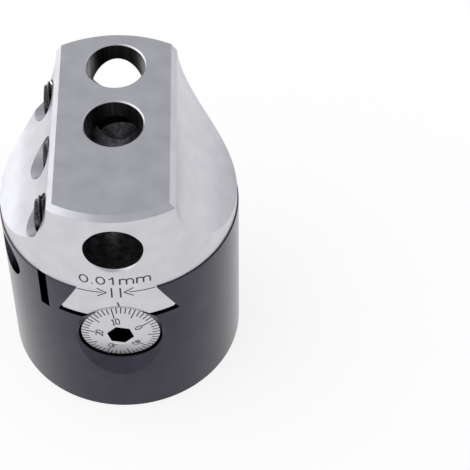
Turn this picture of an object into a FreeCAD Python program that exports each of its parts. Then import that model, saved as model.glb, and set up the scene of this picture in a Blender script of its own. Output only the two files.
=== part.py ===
"""Boring head with a 50 mm body, as a parametric FreeCAD document (millimetres).

The head stands on its back face: +Z runs from the arbor socket to the tool end, the dial
faces -Y, and the tool slide travels along +Y.  The origin is the centre of the back face.
"""
import FreeCAD, Part
import math
import os
import Sketcher

doc = FreeCAD.newDocument("boring_head")
dim = doc.addObject("Spreadsheet::Sheet", "Dim")

DRIVING_DIMENSIONS = {
    # Body
    "body_diameter": 50.0,
    "body_height": 41.1,
    "body_back_edge": 0.25,
    "body_front_edge": 0.3,
    # Arbor socket in the back of the body
    "arbor_thread_bore": 21.0,
    "arbor_thread_length": 13.0,
    "arbor_pilot_bore": 22.6,
    "arbor_pilot_depth": 2.5,
    "arbor_mouth_edge": 0.6,
    # Dovetail between slide and body
    "dovetail_neck": 15.94,
    "dovetail_depth": 8.6,
    "dovetail_angle": 65.0,
    "dovetail_corner": 0.6,
    "flank_clearance": 0.1,
    "groove_floor_gap": 0.95,
    "slide_gap": 0.04,
    # Clamping jaw, sawn free of the body on one side of the groove
    "jaw_wall": 1.9,
    "jaw_slit_width": 1.75,
    "jaw_slit_depth": 10.5,
    # Tool slide
    "slide_step": 0.3,
    "slide_height": 23.0,
    "rib_width": 25.0,
    "rib_edge": 1.1,
    "flank_radius": 24.0,
    "flank_centre_height": 23.5,
    # Tool bores
    "tool_bore": 12.0,
    "tool_bore_pitch": 16.0,
    "tool_bore_depth": 24.0,
    "tool_bore_edge": 0.3,
    "drill_point_angle": 118.0,
    "cross_bore_height": 12.8,
    "cross_bore_edge": 0.5,
    # Tool clamping screws, M8
    "clamp_thread": 8.0,
    "clamp_screw_length": 8.0,
    "clamp_screw_key": 4.0,
    "clamp_screw_end": 0.8,
    "clamp_front_inset": 9.7,
    "clamp_gap_outer": 1.3,
    "clamp_gap_centre": 0.6,
    "clamp_gap_front": 1.6,
    "thread_clearance": 0.05,
    "thread_mouth_widening": 0.35,
    "thread_mouth_depth": 0.3,
    # Slide locking screws, M8, and jaw adjusting screw, M6
    "lock_screw_spacing": 19.6,
    "lock_screw_drop": 6.0,
    "lock_screw_length": 6.0,
    "jaw_screw_thread": 6.0,
    "jaw_screw_length": 6.0,
    "jaw_screw_key": 3.0,
    "jaw_gap": 0.3,
    # Dial and feed screw
    "screw_drop": 16.75,
    "dial_diameter": 16.7,
    "dial_thickness": 3.0,
    "dial_inset": 2.54,
    "dial_slope": 11.0,
    "dial_flat": 6.8,
    "dial_edge": 0.15,
    "dial_clearance": 0.4,
    "dial_key": 5.0,
    "dial_key_depth": 6.0,
    "dial_key_turn": -13.0,
    "mouth_diameter": 24.62,
    "mouth_angle": 120.0,
    "journal_diameter": 10.0,
    "feed_thread": 8.0,
    "tail_diameter": 6.0,
    "tail_edge": 0.5,
    "running_clearance": 0.03,
    "seat_clearance": 0.01,
    # Bearings of the feed screw
    "thrust_washer_diameter": 15.0,
    "thrust_washer_thickness": 0.8,
    "front_bush_diameter": 13.0,
    "front_bush_length": 3.6,
    "rear_bush_diameter": 10.0,
    "rear_bush_length": 3.3,
    "rear_recess_diameter": 13.0,
    "rear_recess_depth": 6.8,
    "screw_passage": 8.8,
    # Disc springs and round nuts behind the rear bush
    "spring_diameter": 12.0,
    "spring_thickness": 0.5,
    "spring_cone": 0.3,
    "nut_diameter": 11.0,
    "nut_thickness": 1.7,
    "nut_slot_width": 2.0,
    "nut_slot_depth": 1.2,
    # Feed nut that hangs from the slide
    "feed_nut_diameter": 12.0,
    "feed_nut_below_axis": 5.8,
    "feed_nut_front_gap": 1.03,
    "feed_nut_rear_gap": 0.9,
    "feed_nut_edge": 0.5,
    "feed_nut_room": 0.5,
    "spigot_diameter": 8.0,
    "spigot_length": 4.2,
    "pin_diameter": 2.5,
    "pin_length": 20.0,
    "pin_edge": 0.3,
    # How far a cutting shape runs past the face it starts from
    "overrun": 2.0,
}

for row, (alias, value) in enumerate(DRIVING_DIMENSIONS.items(), start=1):
    dim.set(f"A{row}", alias.replace("_", " "))
    dim.set(f"B{row}", str(value))
    dim.setAlias(f"B{row}", alias)
doc.recompute()

# Places worked out from the driving dimensions.
BODY_RADIUS = "(Dim.body_diameter / 2)"
SLIDE_RADIUS = "(Dim.body_diameter / 2 - Dim.slide_step)"
BODY_FACE = "Dim.body_height"
SLIDE_BASE = "(Dim.body_height + Dim.slide_gap)"
SLIDE_TOP = "(Dim.body_height + Dim.slide_gap + Dim.slide_height)"
DOVETAIL_FOOT = f"({SLIDE_BASE} - Dim.dovetail_depth)"
DOVETAIL_FOOT_HALF = "(Dim.dovetail_neck / 2 + Dim.dovetail_depth / tan(Dim.dovetail_angle))"
GROOVE_DEPTH = "(Dim.dovetail_depth + Dim.groove_floor_gap - Dim.slide_gap)"
GROOVE_FLOOR = f"(Dim.body_height - {GROOVE_DEPTH})"
GROOVE_NECK_HALF = "(Dim.dovetail_neck / 2 + Dim.flank_clearance / sin(Dim.dovetail_angle))"
GROOVE_FOOT_HALF = f"({GROOVE_NECK_HALF} + {GROOVE_DEPTH} / tan(Dim.dovetail_angle))"
JAW_BACK = f"(-{GROOVE_FOOT_HALF} - Dim.jaw_wall)"
SLIT_BACK = f"({JAW_BACK} - Dim.jaw_slit_width)"
SCREW_AXIS = "(Dim.body_height - Dim.screw_drop)"
CROSS_AXIS = f"({SLIDE_BASE} + Dim.cross_bore_height)"
LOCK_AXIS = "(Dim.body_height - Dim.lock_screw_drop)"
FLANK_CENTRE_X = "(Dim.rib_width / 2 + Dim.flank_radius)"
FLANK_CENTRE_Z = f"({SLIDE_BASE} + Dim.flank_centre_height)"
CLAMP_FRONT_Y = f"(-{SLIDE_RADIUS} + Dim.clamp_front_inset)"
CLAMP_HOLE_RADIUS = "(Dim.clamp_thread / 2 + Dim.thread_clearance)"
JAW_HOLE_RADIUS = "(Dim.jaw_screw_thread / 2 + Dim.thread_clearance)"

# Stations along the feed screw, from the dial at the front to the nuts at the rear.
DIAL_RIM_Y = f"(-{BODY_RADIUS} + Dim.dial_inset)"
DIAL_BACK_Y = f"({DIAL_RIM_Y} + Dim.dial_thickness)"
DIAL_FACE_Y = f"({DIAL_RIM_Y} - (Dim.dial_diameter - Dim.dial_flat) / 2 * tan(Dim.dial_slope))"
RECESS_FLOOR_Y = f"({DIAL_BACK_Y} + Dim.running_clearance + Dim.thrust_washer_thickness)"
RECESS_RADIUS = "(Dim.dial_diameter / 2 + Dim.dial_clearance)"
MOUTH_ROOT_Y = f"(-{BODY_RADIUS} + (Dim.mouth_diameter / 2 - {RECESS_RADIUS}) / tan(Dim.mouth_angle / 2))"
MOUTH_OVER_RADIUS = "(Dim.mouth_diameter / 2 + Dim.overrun * tan(Dim.mouth_angle / 2))"
FRONT_BUSH_END_Y = f"({RECESS_FLOOR_Y} + Dim.front_bush_length)"
REAR_FLOOR_Y = f"({BODY_RADIUS} - Dim.rear_recess_depth)"
REAR_BUSH_START_Y = f"({REAR_FLOOR_Y} - Dim.rear_bush_length)"
SPRING_HEIGHT = "(Dim.spring_thickness + Dim.spring_cone)"
ADJUSTING_NUT_Y = f"({REAR_FLOOR_Y} + 2 * {SPRING_HEIGHT} + Dim.running_clearance)"
LOCK_NUT_Y = f"({ADJUSTING_NUT_Y} + Dim.nut_thickness)"
TAIL_END_Y = f"({LOCK_NUT_Y} + Dim.nut_thickness)"
FEED_NUT_Y = f"({FRONT_BUSH_END_Y} + Dim.feed_nut_front_gap + Dim.feed_nut_diameter / 2)"
FEED_NUT_END_Y = f"({REAR_BUSH_START_Y} - Dim.feed_nut_rear_gap - Dim.feed_nut_diameter / 2)"
FEED_NUT_FOOT = f"({SCREW_AXIS} - Dim.feed_nut_below_axis)"


def at(formula):
    """The present value of a formula over the driving dimensions."""
    return float(dim.evalExpression(str(formula)))


def new_body(name):
    body = doc.addObject("PartDesign::Body", name)
    body.Label = name
    return body


def new_sketch(body, name, plane, centre=("0", "0"), height="0"):
    """A sketch on one of the body's own planes, with its origin moved to centre."""
    sketch = body.newObject("Sketcher::SketchObject", f"{body.Name}_{name}")
    support = [feature for feature in body.Origin.OriginFeatures if feature.Role == plane][0]
    sketch.AttachmentSupport = [(support, "")]
    sketch.MapMode = "FlatFace"
    sketch.setExpression("AttachmentOffset.Base.x", centre[0])
    sketch.setExpression("AttachmentOffset.Base.y", centre[1])
    sketch.setExpression("AttachmentOffset.Base.z", height)
    return sketch


def bind(sketch, kind, references, formula):
    """A dimension of the sketch that follows a formula."""
    index = sketch.addConstraint(Sketcher.Constraint(kind, *references, at(formula)))
    sketch.setExpression(f"Constraints[{index}]", str(formula))


def draw_outline(sketch, corners):
    """A closed outline of straight lines through corners given as pairs of formulas."""
    places = [FreeCAD.Vector(at(across), at(up), 0) for across, up in corners]
    first = sketch.GeometryCount
    count = len(corners)
    for index, place in enumerate(places):
        sketch.addGeometry(Part.LineSegment(place, places[(index + 1) % count]), False)
    for index in range(count):
        following = first + (index + 1) % count
        sketch.addConstraint(Sketcher.Constraint("Coincident", first + index, 2, following, 1))
    for index, (across, up) in enumerate(corners):
        bind(sketch, "DistanceX", (-1, 1, first + index, 1), across)
        bind(sketch, "DistanceY", (-1, 1, first + index, 1), up)


def draw_circle(sketch, across, up, radius):
    centre = FreeCAD.Vector(at(across), at(up), 0)
    index = sketch.addGeometry(Part.Circle(centre, FreeCAD.Vector(0, 0, 1), at(radius)), False)
    bind(sketch, "DistanceX", (-1, 1, index, 3), across)
    bind(sketch, "DistanceY", (-1, 1, index, 3), up)
    bind(sketch, "Radius", (index,), radius)


def draw_obround(sketch, start_up, end_up, radius):
    """A slot outline along the sketch's vertical axis: two half circles and two sides."""
    low = FreeCAD.Vector(0, at(start_up), 0)
    high = FreeCAD.Vector(0, at(end_up), 0)
    size = at(radius)
    normal = FreeCAD.Vector(0, 0, 1)
    side = FreeCAD.Vector(size, 0, 0)
    bottom = sketch.addGeometry(Part.ArcOfCircle(Part.Circle(low, normal, size), math.pi, 2 * math.pi), False)
    right = sketch.addGeometry(Part.LineSegment(low + side, high + side), False)
    top = sketch.addGeometry(Part.ArcOfCircle(Part.Circle(high, normal, size), 0, math.pi), False)
    left = sketch.addGeometry(Part.LineSegment(high - side, low - side), False)
    for one, following in ((bottom, right), (right, top), (top, left), (left, bottom)):
        sketch.addConstraint(Sketcher.Constraint("Tangent", one, 2, following, 1))
    sketch.addConstraint(Sketcher.Constraint("PointOnObject", bottom, 3, -2))
    sketch.addConstraint(Sketcher.Constraint("PointOnObject", top, 3, -2))
    bind(sketch, "DistanceY", (-1, 1, bottom, 3), start_up)
    bind(sketch, "DistanceY", (-1, 1, top, 3), end_up)
    bind(sketch, "Radius", (bottom,), radius)


def draw_hexagon(sketch, across_flats, turn):
    """A key socket outline, with one corner at the angle turn from the horizontal."""
    radius = f"({across_flats} / sqrt(3))"
    draw_outline(sketch, [(f"{radius} * cos({turn} + {60 * corner})", f"{radius} * sin({turn} + {60 * corner})")
                          for corner in range(6)])


def turn_about(body, sketch, axis, cut=False):
    """Turn a half section once round an axis of its sketch, to add or to cut."""
    kind = "PartDesign::Groove" if cut else "PartDesign::Revolution"
    feature = body.newObject(kind, f"{sketch.Name}_turned")
    feature.Profile = sketch
    feature.ReferenceAxis = (sketch, [axis])
    feature.Angle = 360
    return feature


def cut_through(body, sketch):
    """Cut the sketch's outline right through the body, both ways."""
    feature = body.newObject("PartDesign::Pocket", f"{sketch.Name}_cut")
    feature.Profile = sketch
    feature.Type = "ThroughAll"
    feature.Midplane = True
    return feature


def cut_depth(body, sketch, depth, reverse=False):
    feature = body.newObject("PartDesign::Pocket", f"{sketch.Name}_cut")
    feature.Profile = sketch
    feature.setExpression("Length", depth)
    feature.Reversed = reverse
    return feature


def side_hole(body, name, y, z, radius, inner, outer, mouth):
    """A screw hole along X on the -X side, widened from its mouth to just behind x = mouth."""
    sketch = new_sketch(body, name, "XZ_Plane", ("0", z), f"-({y})")
    wide = f"({radius} + Dim.thread_mouth_widening)"
    step = f"({mouth} + Dim.thread_mouth_depth)"
    draw_outline(sketch, [
        (inner, "0"), (inner, radius), (f"{step} + Dim.thread_mouth_widening", radius), (step, wide),
        (f"{outer} - Dim.overrun", wide), (f"{outer} - Dim.overrun", "0"),
    ])
    turn_about(body, sketch, "H_Axis", cut=True)


def dial_recess_outline():
    """Half section of the dial's recess and its flared mouth, from the screw axis out."""
    return [
        (f"-{BODY_RADIUS} - Dim.overrun", "0"), (f"-{BODY_RADIUS} - Dim.overrun", MOUTH_OVER_RADIUS),
        (MOUTH_ROOT_Y, RECESS_RADIUS), (RECESS_FLOOR_Y, RECESS_RADIUS),
    ]


def flank_x(z):
    """Distance from the middle plane to the slide's hollow flank at height z."""
    return f"({FLANK_CENTRE_X} - sqrt(pow(Dim.flank_radius; 2) - pow({FLANK_CENTRE_Z} - {z}; 2)))"


def make_head_body():
    """Turned body with the dovetail groove, the sawn clamping jaw and the feed screw's seats."""
    body = new_body("head_body")

    blank = new_sketch(body, "blank", "XZ_Plane")
    socket_top = "(Dim.arbor_pilot_depth + Dim.arbor_thread_length)"
    draw_outline(blank, [
        ("0", socket_top), ("0", BODY_FACE),
        (f"{BODY_RADIUS} - Dim.body_front_edge", BODY_FACE),
        (BODY_RADIUS, f"{BODY_FACE} - Dim.body_front_edge"),
        (BODY_RADIUS, "Dim.body_back_edge"), (f"{BODY_RADIUS} - Dim.body_back_edge", "0"),
        ("Dim.arbor_pilot_bore / 2 + Dim.arbor_mouth_edge", "0"),
        ("Dim.arbor_pilot_bore / 2", "Dim.arbor_mouth_edge"),
        ("Dim.arbor_pilot_bore / 2", "Dim.arbor_pilot_depth"),
        ("Dim.arbor_thread_bore / 2", "Dim.arbor_pilot_depth"),
        ("Dim.arbor_thread_bore / 2", socket_top),
    ])
    turn_about(body, blank, "V_Axis")

    groove = new_sketch(body, "groove", "XZ_Plane")
    above = f"{BODY_FACE} + Dim.overrun"
    draw_outline(groove, [
        (f"-{GROOVE_NECK_HALF}", above), (f"-{GROOVE_NECK_HALF}", BODY_FACE),
        (f"-{GROOVE_FOOT_HALF}", GROOVE_FLOOR), (GROOVE_FOOT_HALF, GROOVE_FLOOR),
        (GROOVE_NECK_HALF, BODY_FACE), (GROOVE_NECK_HALF, above),
    ])
    cut_through(body, groove)

    slit = new_sketch(body, "jaw_slit", "XZ_Plane")
    slit_floor = f"{BODY_FACE} - Dim.jaw_slit_depth"
    draw_outline(slit, [(SLIT_BACK, above), (SLIT_BACK, slit_floor), (JAW_BACK, slit_floor), (JAW_BACK, above)])
    cut_through(body, slit)

    screw_seat = new_sketch(body, "screw_seat", "YZ_Plane", ("0", SCREW_AXIS))
    front_bush_bore = "Dim.front_bush_diameter / 2 + Dim.seat_clearance"
    rear_bush_bore = "Dim.rear_bush_diameter / 2 + Dim.seat_clearance"
    draw_outline(screw_seat, dial_recess_outline() + [
        (RECESS_FLOOR_Y, front_bush_bore), (FRONT_BUSH_END_Y, front_bush_bore),
        (FRONT_BUSH_END_Y, "Dim.screw_passage / 2"), (REAR_BUSH_START_Y, "Dim.screw_passage / 2"),
        (REAR_BUSH_START_Y, rear_bush_bore), (REAR_FLOOR_Y, rear_bush_bore),
        (REAR_FLOOR_Y, "Dim.rear_recess_diameter / 2"),
        (f"{BODY_RADIUS} + Dim.overrun", "Dim.rear_recess_diameter / 2"),
        (f"{BODY_RADIUS} + Dim.overrun", "0"),
    ])
    turn_about(body, screw_seat, "H_Axis", cut=True)

    slot_floor = f"({FEED_NUT_FOOT} - Dim.feed_nut_room)"
    nut_slot = new_sketch(body, "nut_slot", "XY_Plane", height=slot_floor)
    draw_obround(nut_slot, FEED_NUT_Y, FEED_NUT_END_Y,
                 "Dim.feed_nut_diameter / 2 + Dim.feed_nut_room")
    cut_depth(body, nut_slot, f"{GROOVE_FLOOR} - {slot_floor} + Dim.overrun", reverse=True)

    slit_middle = f"({SLIT_BACK} + Dim.jaw_slit_width / 2)"
    for name, y, radius in (("front_lock_hole", "-Dim.lock_screw_spacing / 2", CLAMP_HOLE_RADIUS),
                            ("rear_lock_hole", "Dim.lock_screw_spacing / 2", CLAMP_HOLE_RADIUS),
                            ("jaw_screw_hole", "0", JAW_HOLE_RADIUS)):
        far_side = f"(abs({y}) + {radius} + Dim.thread_mouth_widening)"
        side_hole(body, name, y, LOCK_AXIS, radius, slit_middle, f"-{BODY_RADIUS}",
                  f"(-sqrt(pow({BODY_RADIUS}; 2) - pow({far_side}; 2)))")
    return body


def make_tool_slide():
    """Slide with a central rib, hollow flanks, a dovetail foot and three tool bores."""
    body = new_body("tool_slide")

    blank = new_sketch(body, "blank", "XZ_Plane")
    draw_outline(blank, [
        ("0", DOVETAIL_FOOT), (SLIDE_RADIUS, DOVETAIL_FOOT), (SLIDE_RADIUS, SLIDE_TOP), ("0", SLIDE_TOP),
    ])
    turn_about(body, blank, "V_Axis")

    foot = new_sketch(body, "dovetail_sides", "XZ_Plane")
    neck = "Dim.dovetail_neck / 2"
    corner_x = f"({DOVETAIL_FOOT_HALF} - Dim.dovetail_corner * cos(Dim.dovetail_angle))"
    corner_z = f"({DOVETAIL_FOOT} + Dim.dovetail_corner * sin(Dim.dovetail_angle))"
    below = f"{DOVETAIL_FOOT} - Dim.overrun"
    beyond = f"({SLIDE_RADIUS} + Dim.overrun)"
    break_x = f"({DOVETAIL_FOOT_HALF} - Dim.dovetail_corner)"
    for sign in ("", "-"):
        draw_outline(foot, [
            (f"{sign}({neck})", SLIDE_BASE), (f"{sign}{corner_x}", corner_z), (f"{sign}{break_x}", DOVETAIL_FOOT),
            (f"{sign}{break_x}", below), (f"{sign}{beyond}", below), (f"{sign}{beyond}", SLIDE_BASE),
        ])
    cut_through(body, foot)

    flanks = new_sketch(body, "hollow_flanks", "XZ_Plane")
    draw_circle(flanks, FLANK_CENTRE_X, FLANK_CENTRE_Z, "Dim.flank_radius")
    draw_circle(flanks, f"-{FLANK_CENTRE_X}", FLANK_CENTRE_Z, "Dim.flank_radius")
    cut_through(body, flanks)

    rib_edges = new_sketch(body, "rib_edges", "XZ_Plane")
    rib_half = "Dim.rib_width / 2"
    for sign in ("", "-"):
        draw_outline(rib_edges, [
            (f"{sign}({rib_half} - Dim.rib_edge - Dim.overrun)", f"{SLIDE_TOP} + Dim.overrun"),
            (f"{sign}({rib_half} + Dim.overrun)", f"{SLIDE_TOP} + Dim.overrun"),
            (f"{sign}({rib_half} + Dim.overrun)", f"{SLIDE_TOP} - Dim.rib_edge - Dim.overrun"),
        ])
    cut_through(body, rib_edges)

    front_edge = new_sketch(body, "rib_front_edge", "YZ_Plane")
    draw_outline(front_edge, [
        (f"-{SLIDE_RADIUS} + Dim.rib_edge + Dim.overrun", f"{SLIDE_TOP} + Dim.overrun"),
        (f"-{SLIDE_RADIUS} - Dim.overrun", f"{SLIDE_TOP} + Dim.overrun"),
        (f"-{SLIDE_RADIUS} - Dim.overrun", f"{SLIDE_TOP} - Dim.rib_edge - Dim.overrun"),
    ])
    front_turn = turn_about(body, front_edge, "V_Axis", cut=True)
    front_turn.Midplane = True
    front_turn.Angle = 180

    bore_radius = "Dim.tool_bore / 2"
    for name, y in (("centre_bore", "0"), ("outer_bore", "Dim.tool_bore_pitch")):
        bore = new_sketch(body, name, "XZ_Plane", ("0", SLIDE_TOP), f"-({y})")
        draw_outline(bore, [
            ("0", f"-Dim.tool_bore_depth - {bore_radius} / tan(Dim.drill_point_angle / 2)"),
            (bore_radius, "-Dim.tool_bore_depth"), (bore_radius, "-Dim.tool_bore_edge"),
            (f"{bore_radius} + Dim.tool_bore_edge + Dim.overrun", "Dim.overrun"), ("0", "Dim.overrun"),
        ])
        turn_about(body, bore, "V_Axis", cut=True)

    cross_bore = new_sketch(body, "cross_bore", "YZ_Plane", ("0", CROSS_AXIS))
    mouth_y = f"({SLIDE_RADIUS} - Dim.cross_bore_edge)"
    over_y = f"({SLIDE_RADIUS} + Dim.overrun)"
    over_radius = f"({bore_radius} + Dim.cross_bore_edge + Dim.overrun)"
    draw_outline(cross_bore, [
        (f"-{over_y}", "0"), (f"-{over_y}", over_radius), (f"-{mouth_y}", bore_radius),
        (mouth_y, bore_radius), (over_y, over_radius), (over_y, "0"),
    ])
    turn_about(body, cross_bore, "H_Axis", cut=True)

    hole_top = f"({CROSS_AXIS} + {CLAMP_HOLE_RADIUS} + Dim.thread_mouth_widening)"
    mouth = f"(-{flank_x(hole_top)})"
    for name, y in (("outer_clamp_hole", "Dim.tool_bore_pitch"), ("centre_clamp_hole", "0"),
                    ("front_clamp_hole", CLAMP_FRONT_Y)):
        side_hole(body, name, y, CROSS_AXIS, CLAMP_HOLE_RADIUS, "0", f"-{SLIDE_RADIUS}", mouth)

    relief = new_sketch(body, "dial_relief", "YZ_Plane", ("0", SCREW_AXIS))
    draw_outline(relief, dial_recess_outline() + [(RECESS_FLOOR_Y, "0")])
    turn_about(body, relief, "H_Axis", cut=True)

    spigot_seat = new_sketch(body, "spigot_seat", "XY_Plane", height=f"{DOVETAIL_FOOT} - Dim.overrun")
    draw_circle(spigot_seat, "0", FEED_NUT_Y, "Dim.spigot_diameter / 2 + Dim.seat_clearance")
    cut_depth(body, spigot_seat, "Dim.overrun + Dim.spigot_length + Dim.seat_clearance", reverse=True)

    pin_hole = new_sketch(body, "pin_hole", "YZ_Plane")
    draw_circle(pin_hole, FEED_NUT_Y, f"{DOVETAIL_FOOT} + Dim.spigot_length / 2", "Dim.pin_diameter / 2 + Dim.seat_clearance")
    drilled = cut_through(body, pin_hole)
    drilled.Type = "Length"
    drilled.setExpression("Length", "Dim.dovetail_neck + 2 * Dim.dovetail_depth")
    return body


def make_dial_screw():
    """Graduated dial and feed screw in one turned piece, with a key socket in its face."""
    body = new_body("dial_screw")
    section = new_sketch(body, "section", "YZ_Plane", ("0", SCREW_AXIS))
    rim = "Dim.dial_diameter / 2"
    tail = "Dim.tail_diameter / 2"
    draw_outline(section, [
        (DIAL_FACE_Y, "0"), (DIAL_FACE_Y, "Dim.dial_flat / 2"),
        (f"{DIAL_RIM_Y} - Dim.dial_edge * tan(Dim.dial_slope)", f"{rim} - Dim.dial_edge"),
        (f"{DIAL_RIM_Y} + Dim.dial_edge", rim), (DIAL_BACK_Y, rim), (DIAL_BACK_Y, "Dim.journal_diameter / 2"),
        (FRONT_BUSH_END_Y, "Dim.journal_diameter / 2"), (FRONT_BUSH_END_Y, "Dim.feed_thread / 2"),
        (REAR_BUSH_START_Y, "Dim.feed_thread / 2"), (REAR_BUSH_START_Y, tail),
        (f"{TAIL_END_Y} - Dim.tail_edge", tail), (TAIL_END_Y, f"{tail} - Dim.tail_edge"), (TAIL_END_Y, "0"),
    ])
    turn_about(body, section, "H_Axis")
    socket = new_sketch(body, "key_socket", "XZ_Plane", ("0", SCREW_AXIS), f"-({DIAL_FACE_Y})")
    draw_hexagon(socket, "Dim.dial_key", "Dim.dial_key_turn")
    cut_depth(body, socket, "Dim.dial_key_depth")
    return body


def make_ring(name, start_y, end_y, outer_radius, inner_radius):
    """A plain turned ring on the feed screw's axis."""
    body = new_body(name)
    section = new_sketch(body, "section", "YZ_Plane", ("0", SCREW_AXIS))
    draw_outline(section, [(start_y, inner_radius), (start_y, outer_radius), (end_y, outer_radius), (end_y, inner_radius)])
    turn_about(body, section, "H_Axis")
    return body


def make_disc_spring(name, start_y, cupped_rearwards):
    """A conical spring washer; the two lie cup to cup."""
    body = new_body(name)
    section = new_sketch(body, "section", "YZ_Plane", ("0", SCREW_AXIS))
    inner = "Dim.tail_diameter / 2 + Dim.dial_clearance / 2"
    outer = "Dim.spring_diameter / 2"
    inner_y, outer_y = (start_y, f"{start_y} + Dim.spring_cone")
    if cupped_rearwards:
        inner_y, outer_y = (outer_y, inner_y)
    draw_outline(section, [
        (inner_y, inner), (outer_y, outer),
        (f"{outer_y} + Dim.spring_thickness", outer), (f"{inner_y} + Dim.spring_thickness", inner),
    ])
    turn_about(body, section, "H_Axis")
    return body


def make_round_nut(name, start_y):
    """A thin round nut with two driving slots across its rear face."""
    end_y = f"({start_y} + Dim.nut_thickness)"
    body = make_ring(name, start_y, end_y, "Dim.nut_diameter / 2", "Dim.tail_diameter / 2 + Dim.seat_clearance")
    slots = new_sketch(body, "slots", "XZ_Plane", ("0", SCREW_AXIS), f"-{end_y}")
    half = "Dim.nut_slot_width / 2"
    root = "Dim.nut_diameter / 2 - Dim.nut_slot_depth"
    past = "Dim.nut_diameter / 2 + Dim.overrun"
    for sign in ("", "-"):
        draw_outline(slots, [(f"{sign}({root})", f"-{half}"), (f"{sign}({past})", f"-{half}"),
                             (f"{sign}({past})", half), (f"{sign}({root})", half)])
    cut_through(body, slots)
    return body


def make_feed_nut():
    """Bronze post with a spigot that is pressed into the slide, and a cross thread."""
    body = new_body("feed_nut")
    section = new_sketch(body, "section", "XZ_Plane", height=f"-({FEED_NUT_Y})")
    spigot = "Dim.spigot_diameter / 2"
    post = "Dim.feed_nut_diameter / 2"
    draw_outline(section, [
        ("0", FEED_NUT_FOOT), (f"{post} - Dim.feed_nut_edge", FEED_NUT_FOOT),
        (post, f"{FEED_NUT_FOOT} + Dim.feed_nut_edge"), (post, DOVETAIL_FOOT), (spigot, DOVETAIL_FOOT),
        (spigot, f"{DOVETAIL_FOOT} + Dim.spigot_length"), ("0", f"{DOVETAIL_FOOT} + Dim.spigot_length"),
    ])
    turn_about(body, section, "V_Axis")
    thread = new_sketch(body, "thread", "XZ_Plane")
    draw_circle(thread, "0", SCREW_AXIS, "Dim.feed_thread / 2 + Dim.thread_clearance")
    cut_through(body, thread)
    pin_hole = new_sketch(body, "pin_hole", "YZ_Plane")
    draw_circle(pin_hole, FEED_NUT_Y, f"{DOVETAIL_FOOT} + Dim.spigot_length / 2", "Dim.pin_diameter / 2 + Dim.seat_clearance")
    cut_through(body, pin_hole)
    return body


def make_feed_nut_pin():
    """Cross pin that keeps the feed nut's spigot in the slide."""
    body = new_body("feed_nut_pin")
    section = new_sketch(body, "section", "XZ_Plane", ("0", f"{DOVETAIL_FOOT} + Dim.spigot_length / 2"),
                         f"-({FEED_NUT_Y})")
    radius = "Dim.pin_diameter / 2"
    half = "Dim.pin_length / 2"
    draw_outline(section, [
        (f"-{half}", "0"), (f"-{half}", f"{radius} - Dim.pin_edge"), (f"-{half} + Dim.pin_edge", radius),
        (f"{half} - Dim.pin_edge", radius), (half, f"{radius} - Dim.pin_edge"), (half, "0"),
    ])
    turn_about(body, section, "H_Axis")
    return body


def make_set_screw(name, tip, y, z, thread, length, key):
    """A socket set screw along X, with its tip towards +X, placed by its tip."""
    body = new_body(name)
    section = new_sketch(body, "section", "XZ_Plane")
    radius = f"({thread} / 2)"
    draw_outline(section, [
        (f"-{length}", "0"), (f"-{length}", f"{radius} - Dim.clamp_screw_end / 2"),
        (f"-{length} + Dim.clamp_screw_end / 2", radius), ("-Dim.clamp_screw_end", radius),
        ("0", f"{radius} - Dim.clamp_screw_end"), ("0", "0"),
    ])
    turn_about(body, section, "H_Axis")
    socket = new_sketch(body, "key_socket", "YZ_Plane", height=f"-{length}")
    draw_hexagon(socket, key, "0")
    cut_depth(body, socket, f"{length} / 2", reverse=True)
    body.setExpression("Placement.Base.x", tip)
    body.setExpression("Placement.Base.y", y)
    body.setExpression("Placement.Base.z", z)
    return body


def make_clamp_screw(name, y, gap):
    return make_set_screw(name, f"-Dim.tool_bore / 2 - {gap}", y, CROSS_AXIS, "Dim.clamp_thread",
                          "Dim.clamp_screw_length", "Dim.clamp_screw_key")


def make_jaw_side_screw(name, y, thread, length, key):
    return make_set_screw(name, f"{JAW_BACK} - Dim.jaw_gap", y, LOCK_AXIS, thread, length, key)


sub_parts = [
    make_head_body(),
    make_tool_slide(),
    make_dial_screw(),
    make_ring("thrust_washer", f"{RECESS_FLOOR_Y} - Dim.thrust_washer_thickness", RECESS_FLOOR_Y,
              "Dim.thrust_washer_diameter / 2", "Dim.journal_diameter / 2 + Dim.running_clearance"),
    make_ring("front_bush", RECESS_FLOOR_Y, FRONT_BUSH_END_Y,
              "Dim.front_bush_diameter / 2", "Dim.journal_diameter / 2 + Dim.running_clearance"),
    make_ring("rear_bush", REAR_BUSH_START_Y, REAR_FLOOR_Y,
              "Dim.rear_bush_diameter / 2", "Dim.tail_diameter / 2 + Dim.running_clearance"),
    make_disc_spring("inner_disc_spring", REAR_FLOOR_Y, cupped_rearwards=False),
    make_disc_spring("outer_disc_spring", f"{REAR_FLOOR_Y} + {SPRING_HEIGHT}", cupped_rearwards=True),
    make_round_nut("adjusting_nut", ADJUSTING_NUT_Y),
    make_round_nut("lock_nut", LOCK_NUT_Y),
    make_feed_nut(),
    make_feed_nut_pin(),
    make_clamp_screw("tool_clamp_screw_outer", "Dim.tool_bore_pitch", "Dim.clamp_gap_outer"),
    make_clamp_screw("tool_clamp_screw_centre", "0", "Dim.clamp_gap_centre"),
    make_clamp_screw("tool_clamp_screw_front", CLAMP_FRONT_Y, "Dim.clamp_gap_front"),
    make_jaw_side_screw("slide_lock_screw_front", "-Dim.lock_screw_spacing / 2", "Dim.clamp_thread",
                        "Dim.lock_screw_length", "Dim.clamp_screw_key"),
    make_jaw_side_screw("slide_lock_screw_rear", "Dim.lock_screw_spacing / 2", "Dim.clamp_thread",
                        "Dim.lock_screw_length", "Dim.clamp_screw_key"),
    make_jaw_side_screw("jaw_adjusting_screw", "0", "Dim.jaw_screw_thread",
                        "Dim.jaw_screw_length", "Dim.jaw_screw_key"),
]
doc.recompute()

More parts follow.
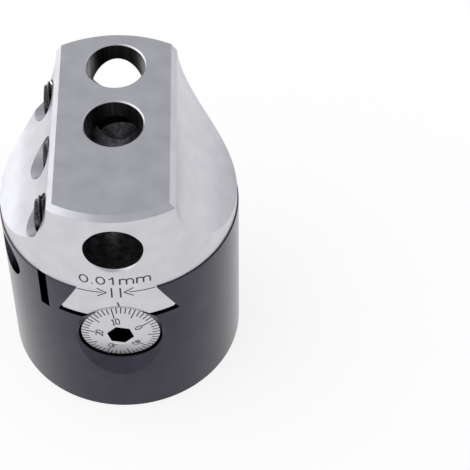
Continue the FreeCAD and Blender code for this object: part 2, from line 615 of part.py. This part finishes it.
for item in doc.Objects:
    if "Invalid" in item.State or "Error" in item.State:
        raise RuntimeError(f"{item.Name} failed: {item.State}")
for part in sub_parts:
    if part.Shape.isNull() or not part.Shape.isValid() or part.Shape.Volume <= 0:
        raise RuntimeError(f"{part.Label} has no valid solid")

os.makedirs("parts", exist_ok=True)
for part in sub_parts:
    part.Shape.exportStep(f"parts/{part.Label}.step")
    box = part.Shape.BoundBox
    print(f"{part.Label:26s} solids {len(part.Shape.Solids)}  volume {part.Shape.Volume:9.1f} mm3  "
          f"x {box.XMin:.2f}..{box.XMax:.2f}  y {box.YMin:.2f}..{box.YMax:.2f}  z {box.ZMin:.2f}..{box.ZMax:.2f}")
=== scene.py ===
import math

import bmesh
import bpy
from mathutils import Matrix, Vector


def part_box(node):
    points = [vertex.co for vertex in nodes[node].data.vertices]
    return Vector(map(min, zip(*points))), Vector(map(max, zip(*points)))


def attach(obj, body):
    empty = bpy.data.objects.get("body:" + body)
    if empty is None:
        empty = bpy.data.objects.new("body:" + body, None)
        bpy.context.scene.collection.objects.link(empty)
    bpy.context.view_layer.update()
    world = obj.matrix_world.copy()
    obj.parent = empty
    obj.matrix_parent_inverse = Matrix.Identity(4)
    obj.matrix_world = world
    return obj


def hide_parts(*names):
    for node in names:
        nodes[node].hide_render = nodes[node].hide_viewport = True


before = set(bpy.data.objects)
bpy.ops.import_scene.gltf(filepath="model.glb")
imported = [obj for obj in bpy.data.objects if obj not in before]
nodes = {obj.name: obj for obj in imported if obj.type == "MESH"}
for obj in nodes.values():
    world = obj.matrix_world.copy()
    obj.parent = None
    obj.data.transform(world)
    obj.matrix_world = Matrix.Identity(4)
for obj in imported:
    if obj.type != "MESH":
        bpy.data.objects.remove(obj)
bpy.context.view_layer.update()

scene = bpy.context.scene
scene.view_settings.view_transform = "Standard"

# ---------------------------------------------------------------------------
# Camera: a long lens on the dial's side, 51 degrees above the horizon. It is
# shifted so that the head stands left of the middle of the frame.
# ---------------------------------------------------------------------------
pitch = math.radians(51.426)
swing = math.radians(-0.545)
roll = math.radians(-0.254)
camera_back = 0.386566
camera_shift_right = 0.024224
camera_shift_down = 0.007917
level_right = Vector((math.cos(swing), math.sin(swing), 0))
level_ahead = Vector((-math.sin(swing), math.cos(swing), 0))
ahead = math.cos(pitch) * level_ahead - math.sin(pitch) * Vector((0, 0, 1))
above = math.sin(pitch) * level_ahead + math.cos(pitch) * Vector((0, 0, 1))
right = math.cos(roll) * level_right + math.sin(roll) * above
upward = -math.sin(roll) * level_right + math.cos(roll) * above
body_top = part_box("head_body")[1][2]
look_from = (Vector((0, 0, body_top)) - camera_back * ahead
             + camera_shift_right * right - camera_shift_down * upward)
camera_data = bpy.data.cameras.new("camera")
camera_data.sensor_width = 36
camera_data.lens = 141.35
camera_data.clip_start = 0.01
camera_data.clip_end = 10
camera = bpy.data.objects.new("camera", camera_data)
scene.collection.objects.link(camera)
camera.matrix_world = Matrix((
    (right.x, upward.x, -ahead.x, look_from.x),
    (right.y, upward.y, -ahead.y, look_from.y),
    (right.z, upward.z, -ahead.z, look_from.z),
    (0, 0, 0, 1),
))
scene.camera = camera

# ---------------------------------------------------------------------------
# Floor: a matt white sheet under the head. It looks nearly white to the camera
# and in polished metal, and keeps a part of the head's shadow.
# ---------------------------------------------------------------------------
floor_half = 3
floor_shape = bmesh.new()
bmesh.ops.create_grid(floor_shape, x_segments=1, y_segments=1, size=floor_half)
floor_mesh = bpy.data.meshes.new("floor")
floor_shape.to_mesh(floor_mesh)
floor_shape.free()
floor = bpy.data.objects.new("floor", floor_mesh)
scene.collection.objects.link(floor)
floor_paint = bpy.data.materials.new("floor_paint")
floor_paint.use_nodes = True
floor_tree = floor_paint.node_tree
floor_shader = floor_tree.nodes["Principled BSDF"]
floor_shader.inputs["Base Color"].default_value = (0.93, 0.93, 0.94, 1)
floor_shader.inputs["Roughness"].default_value = 0.7
floor_rays = floor_tree.nodes.new("ShaderNodeLightPath")
seen = floor_tree.nodes.new("ShaderNodeMath")
seen.operation = "MAXIMUM"
floor_tree.links.new(floor_rays.outputs["Is Camera Ray"], seen.inputs[0])
floor_tree.links.new(floor_rays.outputs["Is Glossy Ray"], seen.inputs[1])
share = floor_tree.nodes.new("ShaderNodeMath")
share.operation = "MULTIPLY"
share.inputs[1].default_value = 0.72
floor_tree.links.new(seen.outputs[0], share.inputs[0])
floor_white = floor_tree.nodes.new("ShaderNodeEmission")
floor_white.inputs["Color"].default_value = (1, 1, 1, 1)
floor_white.inputs["Strength"].default_value = 1.12
floor_mix = floor_tree.nodes.new("ShaderNodeMixShader")
floor_tree.links.new(share.outputs[0], floor_mix.inputs["Fac"])
floor_tree.links.new(floor_shader.outputs[0], floor_mix.inputs[1])
floor_tree.links.new(floor_white.outputs[0], floor_mix.inputs[2])
floor_tree.links.new(floor_mix.outputs[0], floor_tree.nodes["Material Output"].inputs["Surface"])
floor_mesh.materials.append(floor_paint)

# ---------------------------------------------------------------------------
# Studio: a white tent. Polished metal mirrors it, so it is darker overhead and
# brightest on the left; the camera itself sees plain white.
# ---------------------------------------------------------------------------
world = bpy.data.worlds.new("studio")
world.use_nodes = True
scene.world = world
tent = world.node_tree
tent.nodes.clear()
direction = tent.nodes.new("ShaderNodeTexCoord")
split = tent.nodes.new("ShaderNodeSeparateXYZ")
tent.links.new(direction.outputs["Generated"], split.inputs[0])
height_ramp = tent.nodes.new("ShaderNodeValToRGB")
height_ramp.color_ramp.elements[0].position = 0.0
height_ramp.color_ramp.elements[0].color = (0.92, 0.92, 0.95, 1)
height_ramp.color_ramp.elements[1].position = 0.95
height_ramp.color_ramp.elements[1].color = (0.40, 0.40, 0.43, 1)
tent.links.new(split.outputs["Z"], height_ramp.inputs["Fac"])
side_ramp = tent.nodes.new("ShaderNodeMapRange")
side_ramp.inputs["From Min"].default_value = -0.2
side_ramp.inputs["From Max"].default_value = -0.9
side_ramp.inputs["To Min"].default_value = 0.0
side_ramp.inputs["To Max"].default_value = 1.1
tent.links.new(split.outputs["X"], side_ramp.inputs["Value"])
left_white = tent.nodes.new("ShaderNodeCombineColor")
for channel in ("Red", "Green", "Blue"):
    tent.links.new(side_ramp.outputs["Result"], left_white.inputs[channel])
left_side = tent.nodes.new("ShaderNodeMix")
left_side.data_type = "RGBA"
left_side.blend_type = "ADD"
left_side.inputs["Factor"].default_value = 1
tent.links.new(height_ramp.outputs["Color"], left_side.inputs[6])
tent.links.new(left_white.outputs["Color"], left_side.inputs[7])
mirrored = tent.nodes.new("ShaderNodeBackground")
tent.links.new(left_side.outputs[2], mirrored.inputs["Color"])
plain_white = tent.nodes.new("ShaderNodeBackground")
plain_white.inputs["Color"].default_value = (1, 1, 1, 1)
rays = tent.nodes.new("ShaderNodeLightPath")
chosen = tent.nodes.new("ShaderNodeMixShader")
tent.links.new(rays.outputs["Is Camera Ray"], chosen.inputs["Fac"])
tent.links.new(mirrored.outputs[0], chosen.inputs[1])
tent.links.new(plain_white.outputs[0], chosen.inputs[2])
tent_out = tent.nodes.new("ShaderNodeOutputWorld")
tent.links.new(chosen.outputs[0], tent_out.inputs["Surface"])

# ---------------------------------------------------------------------------
# Tool slide: hardened steel, milled with a hollow flank on each side of the rib,
# with bores for the tools, tapped for their set screws and ground on the outside. The
# bores' walls get painted shade: a much darker colour stands in for the shade inside them.
# ---------------------------------------------------------------------------
def arithmetic(tree, operation, first, second=None, third=None):
    """A Math node fed by sockets or numbers."""
    node = tree.nodes.new("ShaderNodeMath")
    node.operation = operation
    for slot, value in enumerate((first, second, third)):
        if value is None:
            continue
        if isinstance(value, (int, float)):
            node.inputs[slot].default_value = value
        else:
            tree.links.new(value, node.inputs[slot])
    return node.outputs[0]


def vector_step(tree, operation, first, second=None):
    """A Vector Math node fed by sockets."""
    node = tree.nodes.new("ShaderNodeVectorMath")
    node.operation = operation
    tree.links.new(first, node.inputs[0])
    if second is not None:
        tree.links.new(second, node.inputs[1])
    return node


def effect(name, inputs, output):
    """A node group with the given input sockets and one output number."""
    group = bpy.data.node_groups.new(name, "ShaderNodeTree")
    for socket, kind in inputs:
        group.interface.new_socket(socket, in_out="INPUT", socket_type="NodeSocket" + kind)
    group.interface.new_socket(output, in_out="OUTPUT", socket_type="NodeSocketFloat")
    return group, group.nodes.new("NodeGroupInput").outputs, group.nodes.new("NodeGroupOutput").inputs


def noise(tree, position, scale, detail, roughness=0.5):
    """Fractal noise over a position."""
    node = tree.nodes.new("ShaderNodeTexNoise")
    node.inputs["Scale"].default_value = scale
    node.inputs["Detail"].default_value = detail
    node.inputs["Roughness"].default_value = roughness
    tree.links.new(position, node.inputs["Vector"])
    return node.outputs["Fac"]


def tones(tree, factor, dark, light, dark_at=0.0, light_at=1.0):
    """A colour between two tones."""
    node = tree.nodes.new("ShaderNodeValToRGB")
    for element, place, tone in zip(node.color_ramp.elements, (dark_at, light_at), (dark, light)):
        element.position = place
        element.color = (*tone, 1)
    tree.links.new(factor, node.inputs["Fac"])
    return node.outputs["Color"]


def blend(tree, factor, first, second):
    """The first colour, or the second where the factor is 1."""
    node = tree.nodes.new("ShaderNodeMix")
    node.data_type = "RGBA"
    tree.links.new(factor, node.inputs["Factor"])
    tree.links.new(first, node.inputs[6])
    if isinstance(second, tuple):
        node.inputs[7].default_value = (*second, 1)
    else:
        tree.links.new(second, node.inputs[7])
    return node.outputs[2]


def bump(tree, height, strength, distance, below=None):
    """A Bump node, on top of another one if there is one below."""
    node = tree.nodes.new("ShaderNodeBump")
    node.inputs["Strength"].default_value = strength
    node.inputs["Distance"].default_value = distance
    tree.links.new(height, node.inputs["Height"])
    if below is not None:
        tree.links.new(below, node.inputs["Normal"])
    return node.outputs["Normal"]


def placed(tree, group, position, values):
    """A node group in a material, with its values; returns what it puts out."""
    node = tree.nodes.new("ShaderNodeGroup")
    node.node_tree = group
    for socket, value in values.items():
        node.inputs[socket].default_value = value
    tree.links.new(position, node.inputs["Position"])
    return node.outputs[0]


def finish(name, metallic=1.0):
    """A new material: itself, its tree, its shader's inputs and the position on the object."""
    material = bpy.data.materials.new(name)
    material.use_nodes = True
    tree = material.node_tree
    inputs = tree.nodes["Principled BSDF"].inputs
    inputs["Metallic"].default_value = metallic
    return material, tree, inputs, tree.nodes.new("ShaderNodeTexCoord").outputs["Object"]


def coat(material, *names):
    for name in names:
        nodes[name].data.materials.clear()
        nodes[name].data.materials.append(material)


def axis_point(name):
    """The middle of a set screw's box, at X = 0: its axis runs along X."""
    low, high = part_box(name)
    return 0, (low[1] + high[1]) / 2, (low[2] + high[2]) / 2


# Fine parallel marks of a grinding wheel or a cutter: noise drawn out along one axis.
tool_marks, given, result = effect("tool_marks", (("Position", "Vector"), ("Across", "Vector")), "Height")
drawn_out = vector_step(tool_marks, "MULTIPLY", given["Position"], given["Across"]).outputs[0]
tool_marks.links.new(noise(tool_marks, drawn_out, 1.0, 3.0, 0.65), result["Height"])

# Turns of a screw thread on the -X wall of a round hole that runs along X.
wall_tolerance = 0.00012
far_side = -0.006
hole_thread, given, result = effect("hole_thread", (
    ("Position", "Vector"), ("Axis Point", "Vector"), ("Radius", "Float"), ("Pitch", "Float")), "Height")
offset = vector_step(hole_thread, "SUBTRACT", given["Position"], given["Axis Point"]).outputs[0]
parts = hole_thread.nodes.new("ShaderNodeSeparateXYZ")
hole_thread.links.new(offset, parts.inputs[0])
bearing = arithmetic(hole_thread, "ARCTAN2", parts.outputs["Y"], parts.outputs["Z"])
turns = arithmetic(hole_thread, "DIVIDE", parts.outputs["X"], given["Pitch"])
phase = arithmetic(hole_thread, "MULTIPLY_ADD", bearing, 1 / (2 * math.pi), turns)
wave = arithmetic(hole_thread, "PINGPONG", phase, 0.5)
square_y = arithmetic(hole_thread, "MULTIPLY", parts.outputs["Y"], parts.outputs["Y"])
square_sum = arithmetic(hole_thread, "MULTIPLY_ADD", parts.outputs["Z"], parts.outputs["Z"], square_y)
distance = arithmetic(hole_thread, "SQRT", square_sum)
off_wall = arithmetic(hole_thread, "SUBTRACT", distance, given["Radius"])
off_wall = arithmetic(hole_thread, "ABSOLUTE", off_wall)
on_wall = arithmetic(hole_thread, "LESS_THAN", off_wall, wall_tolerance)
on_side = arithmetic(hole_thread, "LESS_THAN", parts.outputs["X"], far_side)
on_wall = arithmetic(hole_thread, "MULTIPLY", on_wall, on_side)
hole_thread.links.new(arithmetic(hole_thread, "MULTIPLY", wave, on_wall), result["Height"])

# The inside of a round bore: 1 within the radius of its axis, 0 outside.
# It marks where shade is painted: in the tool bores and in the dial's hexagon socket.
painted_shade_mask, given, result = effect("painted_shade_mask", (
    ("Position", "Vector"), ("Axis Point", "Vector"), ("Flatten", "Vector"), ("Radius", "Float")), "Mask")
offset = vector_step(painted_shade_mask, "SUBTRACT", given["Position"], given["Axis Point"]).outputs[0]
flattened = vector_step(painted_shade_mask, "MULTIPLY", offset, given["Flatten"]).outputs[0]
distance = vector_step(painted_shade_mask, "LENGTH", flattened).outputs["Value"]
mask = arithmetic(painted_shade_mask, "LESS_THAN", distance, given["Radius"])
painted_shade_mask.links.new(mask, result["Mask"])

bore_mask_radius = 0.00604
outer_bore_y = 0.016
clamp_hole_radius = 0.00405
clamp_pitch = 0.00125
clamp_screws = ("tool_clamp_screw_outer", "tool_clamp_screw_centre", "tool_clamp_screw_front")
ground_steel, tree, inputs, position = finish("ground_steel")
lengthwise = placed(tree, tool_marks, position, {"Across": (9000, 350, 9000)})
cloud = noise(tree, position, 220, 4)
speckle = noise(tree, position, 4200, 2)
rough = arithmetic(tree, "MULTIPLY_ADD", lengthwise, 0.16, 0.24)
rough = arithmetic(tree, "MULTIPLY_ADD", cloud, 0.08, rough)
tree.links.new(rough, inputs["Roughness"])
ground = tones(tree, cloud, (0.58, 0.58, 0.61), (0.66, 0.66, 0.69), 0.3, 0.7)
cross_axis = axis_point("tool_clamp_screw_outer")[2]
inside = 0.0
for bore_axis, flatten in (((0, 0, 0), (1, 1, 0)), ((0, outer_bore_y, 0), (1, 1, 0)),
                           ((0, 0, cross_axis), (1, 0, 1))):
    wall = placed(tree, painted_shade_mask, position, {
        "Axis Point": bore_axis, "Flatten": flatten, "Radius": bore_mask_radius})
    inside = arithmetic(tree, "MAXIMUM", inside, wall)
# Painted shade: the bores' walls get a dark colour in place of the shade inside them.
streaks = placed(tree, tool_marks, position, {"Across": (900, 900, 60)})
painted_bore_shade = tones(tree, streaks, (0.10, 0.10, 0.105), (0.30, 0.30, 0.31), 0.35, 0.7)
tree.links.new(blend(tree, inside, ground, painted_bore_shade), inputs["Base Color"])
fine = arithmetic(tree, "MULTIPLY_ADD", speckle, 0.5, lengthwise)
grain_normal = bump(tree, fine, 0.35, 0.00002)
tapped = 0.0
for name in clamp_screws:
    turns = placed(tree, hole_thread, position, {
        "Axis Point": axis_point(name), "Radius": clamp_hole_radius, "Pitch": clamp_pitch})
    tapped = arithmetic(tree, "ADD", tapped, turns)
tree.links.new(bump(tree, tapped, 0.9, 0.0012, grain_normal), inputs["Normal"])
coat(ground_steel, "tool_slide")

# ---------------------------------------------------------------------------
# Body: hardened steel, turned and milled, with a glossy black oxide finish all
# over. The jaw's slit, the groove and the dial's recess are black too.
# ---------------------------------------------------------------------------
black_oxide, tree, inputs, position = finish("black_oxide")
turned = placed(tree, tool_marks, position, {"Across": (300, 300, 7000)})
cloud = noise(tree, position, 160, 5)
oxide = tones(tree, cloud, (0.042, 0.039, 0.052), (0.056, 0.052, 0.068), 0.3, 0.75)
tree.links.new(oxide, inputs["Base Color"])
rough = arithmetic(tree, "MULTIPLY_ADD", turned, 0.06, 0.17)
rough = arithmetic(tree, "MULTIPLY_ADD", cloud, 0.05, rough)
tree.links.new(rough, inputs["Roughness"])
tree.links.new(bump(tree, turned, 0.15, 0.00001), inputs["Normal"])
coat(black_oxide, "head_body")

# ---------------------------------------------------------------------------
# Dial and feed screw: one turned piece in satin steel; the inside of its hexagon socket is painted near
# black as shade.
# Its two round nuts, the disc springs and the feed nut's pin have the same finish.
# ---------------------------------------------------------------------------
socket_mask_radius = 0.00295
dial_low, dial_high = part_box("dial_screw")
dial_z = (dial_high[2] + dial_low[2]) / 2
dial_steel, tree, inputs, position = finish("dial_steel")
speckle = noise(tree, position, 3600, 3)
satin = tones(tree, speckle, (0.50, 0.50, 0.52), (0.72, 0.72, 0.74))
# Painted shade: the inside of the hexagon socket gets a near-black colour in place of its shade.
around_socket = placed(tree, painted_shade_mask, position, {
    "Axis Point": (0, 0, dial_z), "Flatten": (1, 0, 1), "Radius": socket_mask_radius})
position_parts = tree.nodes.new("ShaderNodeSeparateXYZ")
tree.links.new(position, position_parts.inputs[0])
below_face = arithmetic(tree, "GREATER_THAN", position_parts.outputs["Y"], dial_low[1] + 0.00005)
socket_shade_mask = arithmetic(tree, "MULTIPLY", around_socket, below_face)
tree.links.new(blend(tree, socket_shade_mask, satin, (0.035, 0.034, 0.036)), inputs["Base Color"])
rough = arithmetic(tree, "MULTIPLY_ADD", speckle, 0.15, 0.3)
tree.links.new(rough, inputs["Roughness"])
tree.links.new(bump(tree, speckle, 0.3, 0.00002), inputs["Normal"])
coat(dial_steel, "dial_screw", "adjusting_nut", "lock_nut", "feed_nut_pin", "inner_disc_spring",
     "outer_disc_spring")

# ---------------------------------------------------------------------------
# Bearings and feed nut: turned bronze, pressed or pinned in their seats and all
# but hidden inside the head.
# ---------------------------------------------------------------------------
turned_bronze, tree, inputs, position = finish("turned_bronze")
lathe = placed(tree, tool_marks, position, {"Across": (500, 6000, 500)})
tree.links.new(tones(tree, lathe, (0.50, 0.33, 0.15), (0.70, 0.50, 0.26)), inputs["Base Color"])
rough = arithmetic(tree, "MULTIPLY_ADD", lathe, 0.2, 0.25)
tree.links.new(rough, inputs["Roughness"])
coat(turned_bronze, "thrust_washer", "front_bush", "rear_bush", "feed_nut")

# ---------------------------------------------------------------------------
# Set screws: alloy steel with a black oxide finish and rolled threads, a hexagon
# socket in the outer end and a cup point on the inner one. Each is screwed into its
# hole from the -X side.
# ---------------------------------------------------------------------------
screw_black, tree, inputs, position = finish("screw_black")
mottle = noise(tree, position, 1500, 4)
mottled = tones(tree, mottle, (0.05, 0.049, 0.052), (0.17, 0.168, 0.17), 0.35, 0.75)
tree.links.new(mottled, inputs["Base Color"])
rough = arithmetic(tree, "MULTIPLY_ADD", mottle, 0.15, 0.2)
tree.links.new(rough, inputs["Roughness"])


def add_piece(name, mesh, material, body_name):
    data = bpy.data.meshes.new(name)
    mesh.to_mesh(data)
    mesh.free()
    data.materials.append(material)
    piece = bpy.data.objects.new(name, data)
    scene.collection.objects.link(piece)
    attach(piece, body_name)
    return piece


def set_screw(node_name, body_name, pitch, key, socket_depth):
    """A threaded set screw in place of the plain CAD one, of the same length and diameter."""
    low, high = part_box(node_name)
    start, end = low[0], high[0]
    crest = (high[2] - low[2]) / 2
    root = crest - 0.6134 * pitch
    steps_a_turn = 48
    turns = math.ceil((end - start) / pitch) + 3
    mesh = bmesh.new()
    ridge = ((0.0, crest), (0.125, crest), (0.4375, root), (0.6875, root), (1.0, crest))
    corners = [mesh.verts.new((start + (share - 1.5) * pitch, radius, 0)) for share, radius in ridge]
    edges = [mesh.edges.new(pair) for pair in zip(corners, corners[1:])]
    bmesh.ops.spin(mesh, geom=corners + edges, cent=(0, 0, 0), axis=(1, 0, 0),
                   dvec=(pitch / steps_a_turn, 0, 0), angle=2 * math.pi * turns,
                   steps=steps_a_turn * turns, use_merge=False)
    bmesh.ops.remove_doubles(mesh, verts=mesh.verts[:], dist=2e-6)
    for place, outward in ((start, (-1, 0, 0)), (end, (1, 0, 0))):
        bmesh.ops.bisect_plane(mesh, geom=mesh.verts[:] + mesh.edges[:] + mesh.faces[:], dist=1e-8,
                               plane_co=(place, 0, 0), plane_no=outward, clear_outer=True)
    end_radius = root - 0.00005
    for vertex in mesh.verts:
        radius = math.hypot(vertex.co.y, vertex.co.z)
        limit = end_radius + min(vertex.co.x - start, end - vertex.co.x)
        if radius > limit:
            vertex.co.y *= limit / radius
            vertex.co.z *= limit / radius

    def rim(place):
        return [edge for edge in mesh.edges if edge.is_boundary
                and all(abs(vertex.co.x - place) < 1e-6 for vertex in edge.verts)]

    def draw_in(edges, move, radius_at):
        """Extrudes a rim along X to a new outline, given as a radius at each bearing."""
        grown = bmesh.ops.extrude_edge_only(mesh, edges=edges)["geom"]
        for vertex in [item for item in grown if isinstance(item, bmesh.types.BMVert)]:
            bearing = math.atan2(vertex.co.z, vertex.co.y)
            radius = radius_at(bearing)
            vertex.co = (vertex.co.x + move, radius * math.cos(bearing), radius * math.sin(bearing))
        return [item for item in grown if isinstance(item, bmesh.types.BMEdge)]

    def hexagon(bearing):
        return key / 2 / math.cos((bearing % (math.pi / 3)) - math.pi / 6)

    def point(bearing):
        return 1e-6

    mouth_radius = key / 2 / math.cos(math.pi / 6) * 1.04
    socket = draw_in(rim(start), 0, lambda bearing: mouth_radius)
    socket = draw_in(socket, 0.00025, hexagon)
    socket = draw_in(socket, socket_depth, hexagon)
    draw_in(socket, 0.0006, point)
    cup = draw_in(rim(end), 0, lambda bearing: end_radius * 0.72)
    draw_in(cup, -0.0012, point)
    bmesh.ops.remove_doubles(mesh, verts=mesh.verts[:], dist=5e-6)
    bmesh.ops.recalc_face_normals(mesh, faces=mesh.faces[:])
    for face in mesh.faces:
        face.smooth = True
    for edge in mesh.edges:
        edge.smooth = len(edge.link_faces) == 2 and edge.calc_face_angle(0) < math.radians(28)
    bmesh.ops.translate(mesh, verts=mesh.verts[:], vec=axis_point(node_name))
    piece = add_piece(node_name + "_threaded", mesh, screw_black, body_name)
    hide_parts(node_name)


for name, body_name in zip(clamp_screws, ("clamp_outer", "clamp_centre", "clamp_front")):
    set_screw(name, body_name, clamp_pitch, 0.004, 0.0034)
set_screw("slide_lock_screw_front", "lock_front", clamp_pitch, 0.004, 0.0026)
set_screw("slide_lock_screw_rear", "lock_rear", clamp_pitch, 0.004, 0.0026)
set_screw("jaw_adjusting_screw", "jaw_screw", 0.001, 0.003, 0.0026)

# ---------------------------------------------------------------------------
# Engraving on the slide's front: the value of one division, two arrows at the two
# lines they point to, and the dial's index. Cut lines filled with black.
# ---------------------------------------------------------------------------
engraving_black, tree, inputs, position = finish("engraving_black", metallic=0.0)
wear = noise(tree, position, 5000, 3)
tree.links.new(tones(tree, wear, (0.008, 0.008, 0.012), (0.045, 0.042, 0.052)), inputs["Base Color"])
rough = arithmetic(tree, "MULTIPLY_ADD", wear, 0.3, 0.45)
tree.links.new(rough, inputs["Roughness"])


def cut_line(mesh, points, width, wrap):
    """A filled cut along a path in millimetres, extruded step by step and laid on a face by wrap."""
    longest = 0.35
    proud = 0.012
    depth = 0.042
    path = [Vector(points[0])]
    for before, after in zip(points, points[1:]):
        before, after = Vector(before), Vector(after)
        pieces = max(1, int((after - before).length / longest))
        path += [before.lerp(after, piece / pieces) for piece in range(1, pieces + 1)]
    closed = (path[0] - path[-1]).length < 1e-6
    before_path = [path[-2] if closed else path[0]] + path[:-1]
    after_path = path[1:] + [path[1] if closed else path[-1]]
    ends = [mesh.verts.new(), mesh.verts.new()]
    edge = mesh.edges.new(ends)
    strip_verts, strip_faces = list(ends), []
    for index, (before, here, after) in enumerate(zip(before_path, path, after_path)):
        if index:
            grown = bmesh.ops.extrude_edge_only(mesh, edges=[edge])["geom"]
            old_ends = ends
            ends = [None, None]
            for vertex in [item for item in grown if isinstance(item, bmesh.types.BMVert)]:
                neighbours = [joined.other_vert(vertex) for joined in vertex.link_edges]
                ends[0 if old_ends[0] in neighbours else 1] = vertex
            edge = mesh.edges.get(ends)
            strip_verts += ends
            strip_faces += [item for item in grown if isinstance(item, bmesh.types.BMFace)]
        along = (after - before).normalized()
        sideways = Vector((-along.y, along.x)) * width / 2
        ends[0].co = (*(here + sideways), proud)
        ends[1].co = (*(here - sideways), proud)
    bmesh.ops.remove_doubles(mesh, verts=strip_verts, dist=1e-4)
    strip_faces = [face for face in strip_faces if face.is_valid]
    strip_verts = [vertex for vertex in strip_verts if vertex.is_valid]
    lowered = bmesh.ops.extrude_face_region(mesh, geom=strip_faces)["geom"]
    lowered = [item for item in lowered if isinstance(item, bmesh.types.BMVert)]
    bmesh.ops.translate(mesh, verts=lowered, vec=(0, 0, -depth))
    for vertex in set(strip_verts + lowered):
        vertex.co = wrap(*vertex.co)


def arc(cx, cy, rx, ry, start, end, count=16):
    return [(cx + rx * math.cos(math.radians(start + (end - start) * k / count)),
             cy + ry * math.sin(math.radians(start + (end - start) * k / count))) for k in range(count + 1)]


def add_marks(name, mesh, body_name):
    bmesh.ops.recalc_face_normals(mesh, faces=mesh.faces[:])
    add_piece(name, mesh, engraving_black, body_name)


slide_radius = -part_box("tool_slide")[0][1]


def on_slide(across, up, proud):
    """Millimetres round the slide's front and above the body's top edge."""
    turn = across / 1000 / slide_radius
    radius = slide_radius + proud / 1000
    return radius * math.sin(turn), -radius * math.cos(turn), body_top + up / 1000


base = 2.25
lettering = bmesh.new()
for middle in (-6.45, -3.0):
    cut_line(lettering, arc(middle, base + 1.22, 0.84, 1.16, 0, 360, 28), 0.33, on_slide)
cut_line(lettering, [(-4.87, base + 0.12), (-4.57, base + 0.12)], 0.34, on_slide)
cut_line(lettering, [(-1.3, base + 1.65), (-0.8, base + 1.95), (-0.48, base + 2.42)], 0.3, on_slide)
cut_line(lettering, [(-0.48, base + 2.47), (-0.46, base - 0.05)], 0.36, on_slide)
for left in (0.88, 4.32):
    cut_line(lettering, [(left, base - 0.05), (left, base + 1.85)], 0.36, on_slide)
    for foot in (left, left + 1.37):
        arch = arc(foot + 0.68, base + 1.1, 0.68, 0.68, 165, 0, 10)
        cut_line(lettering, arch + [(foot + 1.37, base - 0.05)], 0.34, on_slide)
add_marks("slide_lettering", lettering, "slide")

arrows = bmesh.new()
for tail, neck, tip, upper, lower, height in (
        (-8.1, -2.9, -1.98, (-3.9, 0.8), (-3.9, -1.7), -0.42),
        (7.95, 2.6, 1.56, (3.5, 1.0), (3.5, -1.62), -0.32)):
    cut_line(arrows, [(tail, height), (neck, height)], 0.25, on_slide)
    cut_line(arrows, [upper, (tip, height)], 0.27, on_slide)
    cut_line(arrows, [lower, (tip, height)], 0.27, on_slide)
cut_line(arrows, [(-0.95, 1.15), (-0.92, -2.0)], 0.36, on_slide)
cut_line(arrows, [(0.85, 1.15), (0.87, -2.0)], 0.36, on_slide)
cut_line(arrows, [(0.08, -3.68), (0.36, -5.05)], 0.34, on_slide)
add_marks("slide_arrows_and_index", arrows, "slide")

# ---------------------------------------------------------------------------
# Graduations on the dial's conical face: fifty cut lines, every fifth one longer,
# and a number at every tenth, all filled with black. They turn with the dial.
# ---------------------------------------------------------------------------
dial_rim = (dial_high[0] - dial_low[0]) / 2 * 1000 - 0.12
face_flat = 0.0034
face_slope = math.tan(math.radians(11))
divisions = 50
division_angle = 360 / divisions
ten_at = 11.4


def on_dial(bearing, radius_mm, proud):
    """Degrees anticlockwise from the top, seen from the front, and millimetres from the centre."""
    radius = radius_mm / 1000
    depth = max(0.0, radius - face_flat) * face_slope
    turn = math.radians(bearing)
    return -radius * math.sin(turn), dial_low[1] + depth - proud / 1000, dial_z + radius * math.cos(turn)


graduations = bmesh.new()
for division in range(divisions):
    bearing = ten_at + (division - 10) * division_angle
    length = 2.9 if division % 10 == 0 else 2.5 if division % 5 == 0 else 1.55

    def along_radius(across, out, proud, bearing=bearing):
        return on_dial(bearing - math.degrees(across / out), out, proud)

    cut_line(graduations, [(0, dial_rim), (0, dial_rim - length)], 0.25, along_radius)
add_marks("dial_graduations", graduations, "feed_screw")

figure_height = 1.5
figure_spacing = 0.92
figure_foot = 3.68
figures = {
    "0": [arc(0, 0.5, 0.28, 0.5, 0, 360, 20)],
    "1": [[(-0.18, 0.78), (0.02, 1.0)], [(0.02, 1.0), (0.02, 0.0)], [(-0.16, 0.0), (0.2, 0.0)]],
    "2": [arc(0, 0.72, 0.27, 0.28, 160, -30, 10) + [(-0.27, 0.02)], [(-0.27, 0.02), (0.29, 0.02)]],
    "3": [arc(0, 0.75, 0.25, 0.25, 150, -90, 10), arc(0, 0.26, 0.29, 0.26, 90, -150, 12)],
    "4": [[(0.12, 0.0), (0.12, 1.0)], [(0.12, 1.0), (-0.3, 0.3)], [(-0.3, 0.3), (0.32, 0.3)]],
}
numbers = bmesh.new()
for value in (0, 10, 20, 30, 40):
    bearing = ten_at + (value - 10) * division_angle
    text = str(value)

    def on_face(across, out, proud, bearing=bearing):
        return on_dial(bearing - math.degrees(math.atan2(across, out)), math.hypot(across, out), proud)

    for place, figure in enumerate(text):
        shift = (place - (len(text) - 1) / 2) * figure_spacing
        for stroke in figures[figure]:
            path = [(x * figure_height + shift, figure_foot + y * figure_height) for x, y in stroke]
            cut_line(numbers, path, 0.24, on_face)
add_marks("dial_numbers", numbers, "feed_screw")
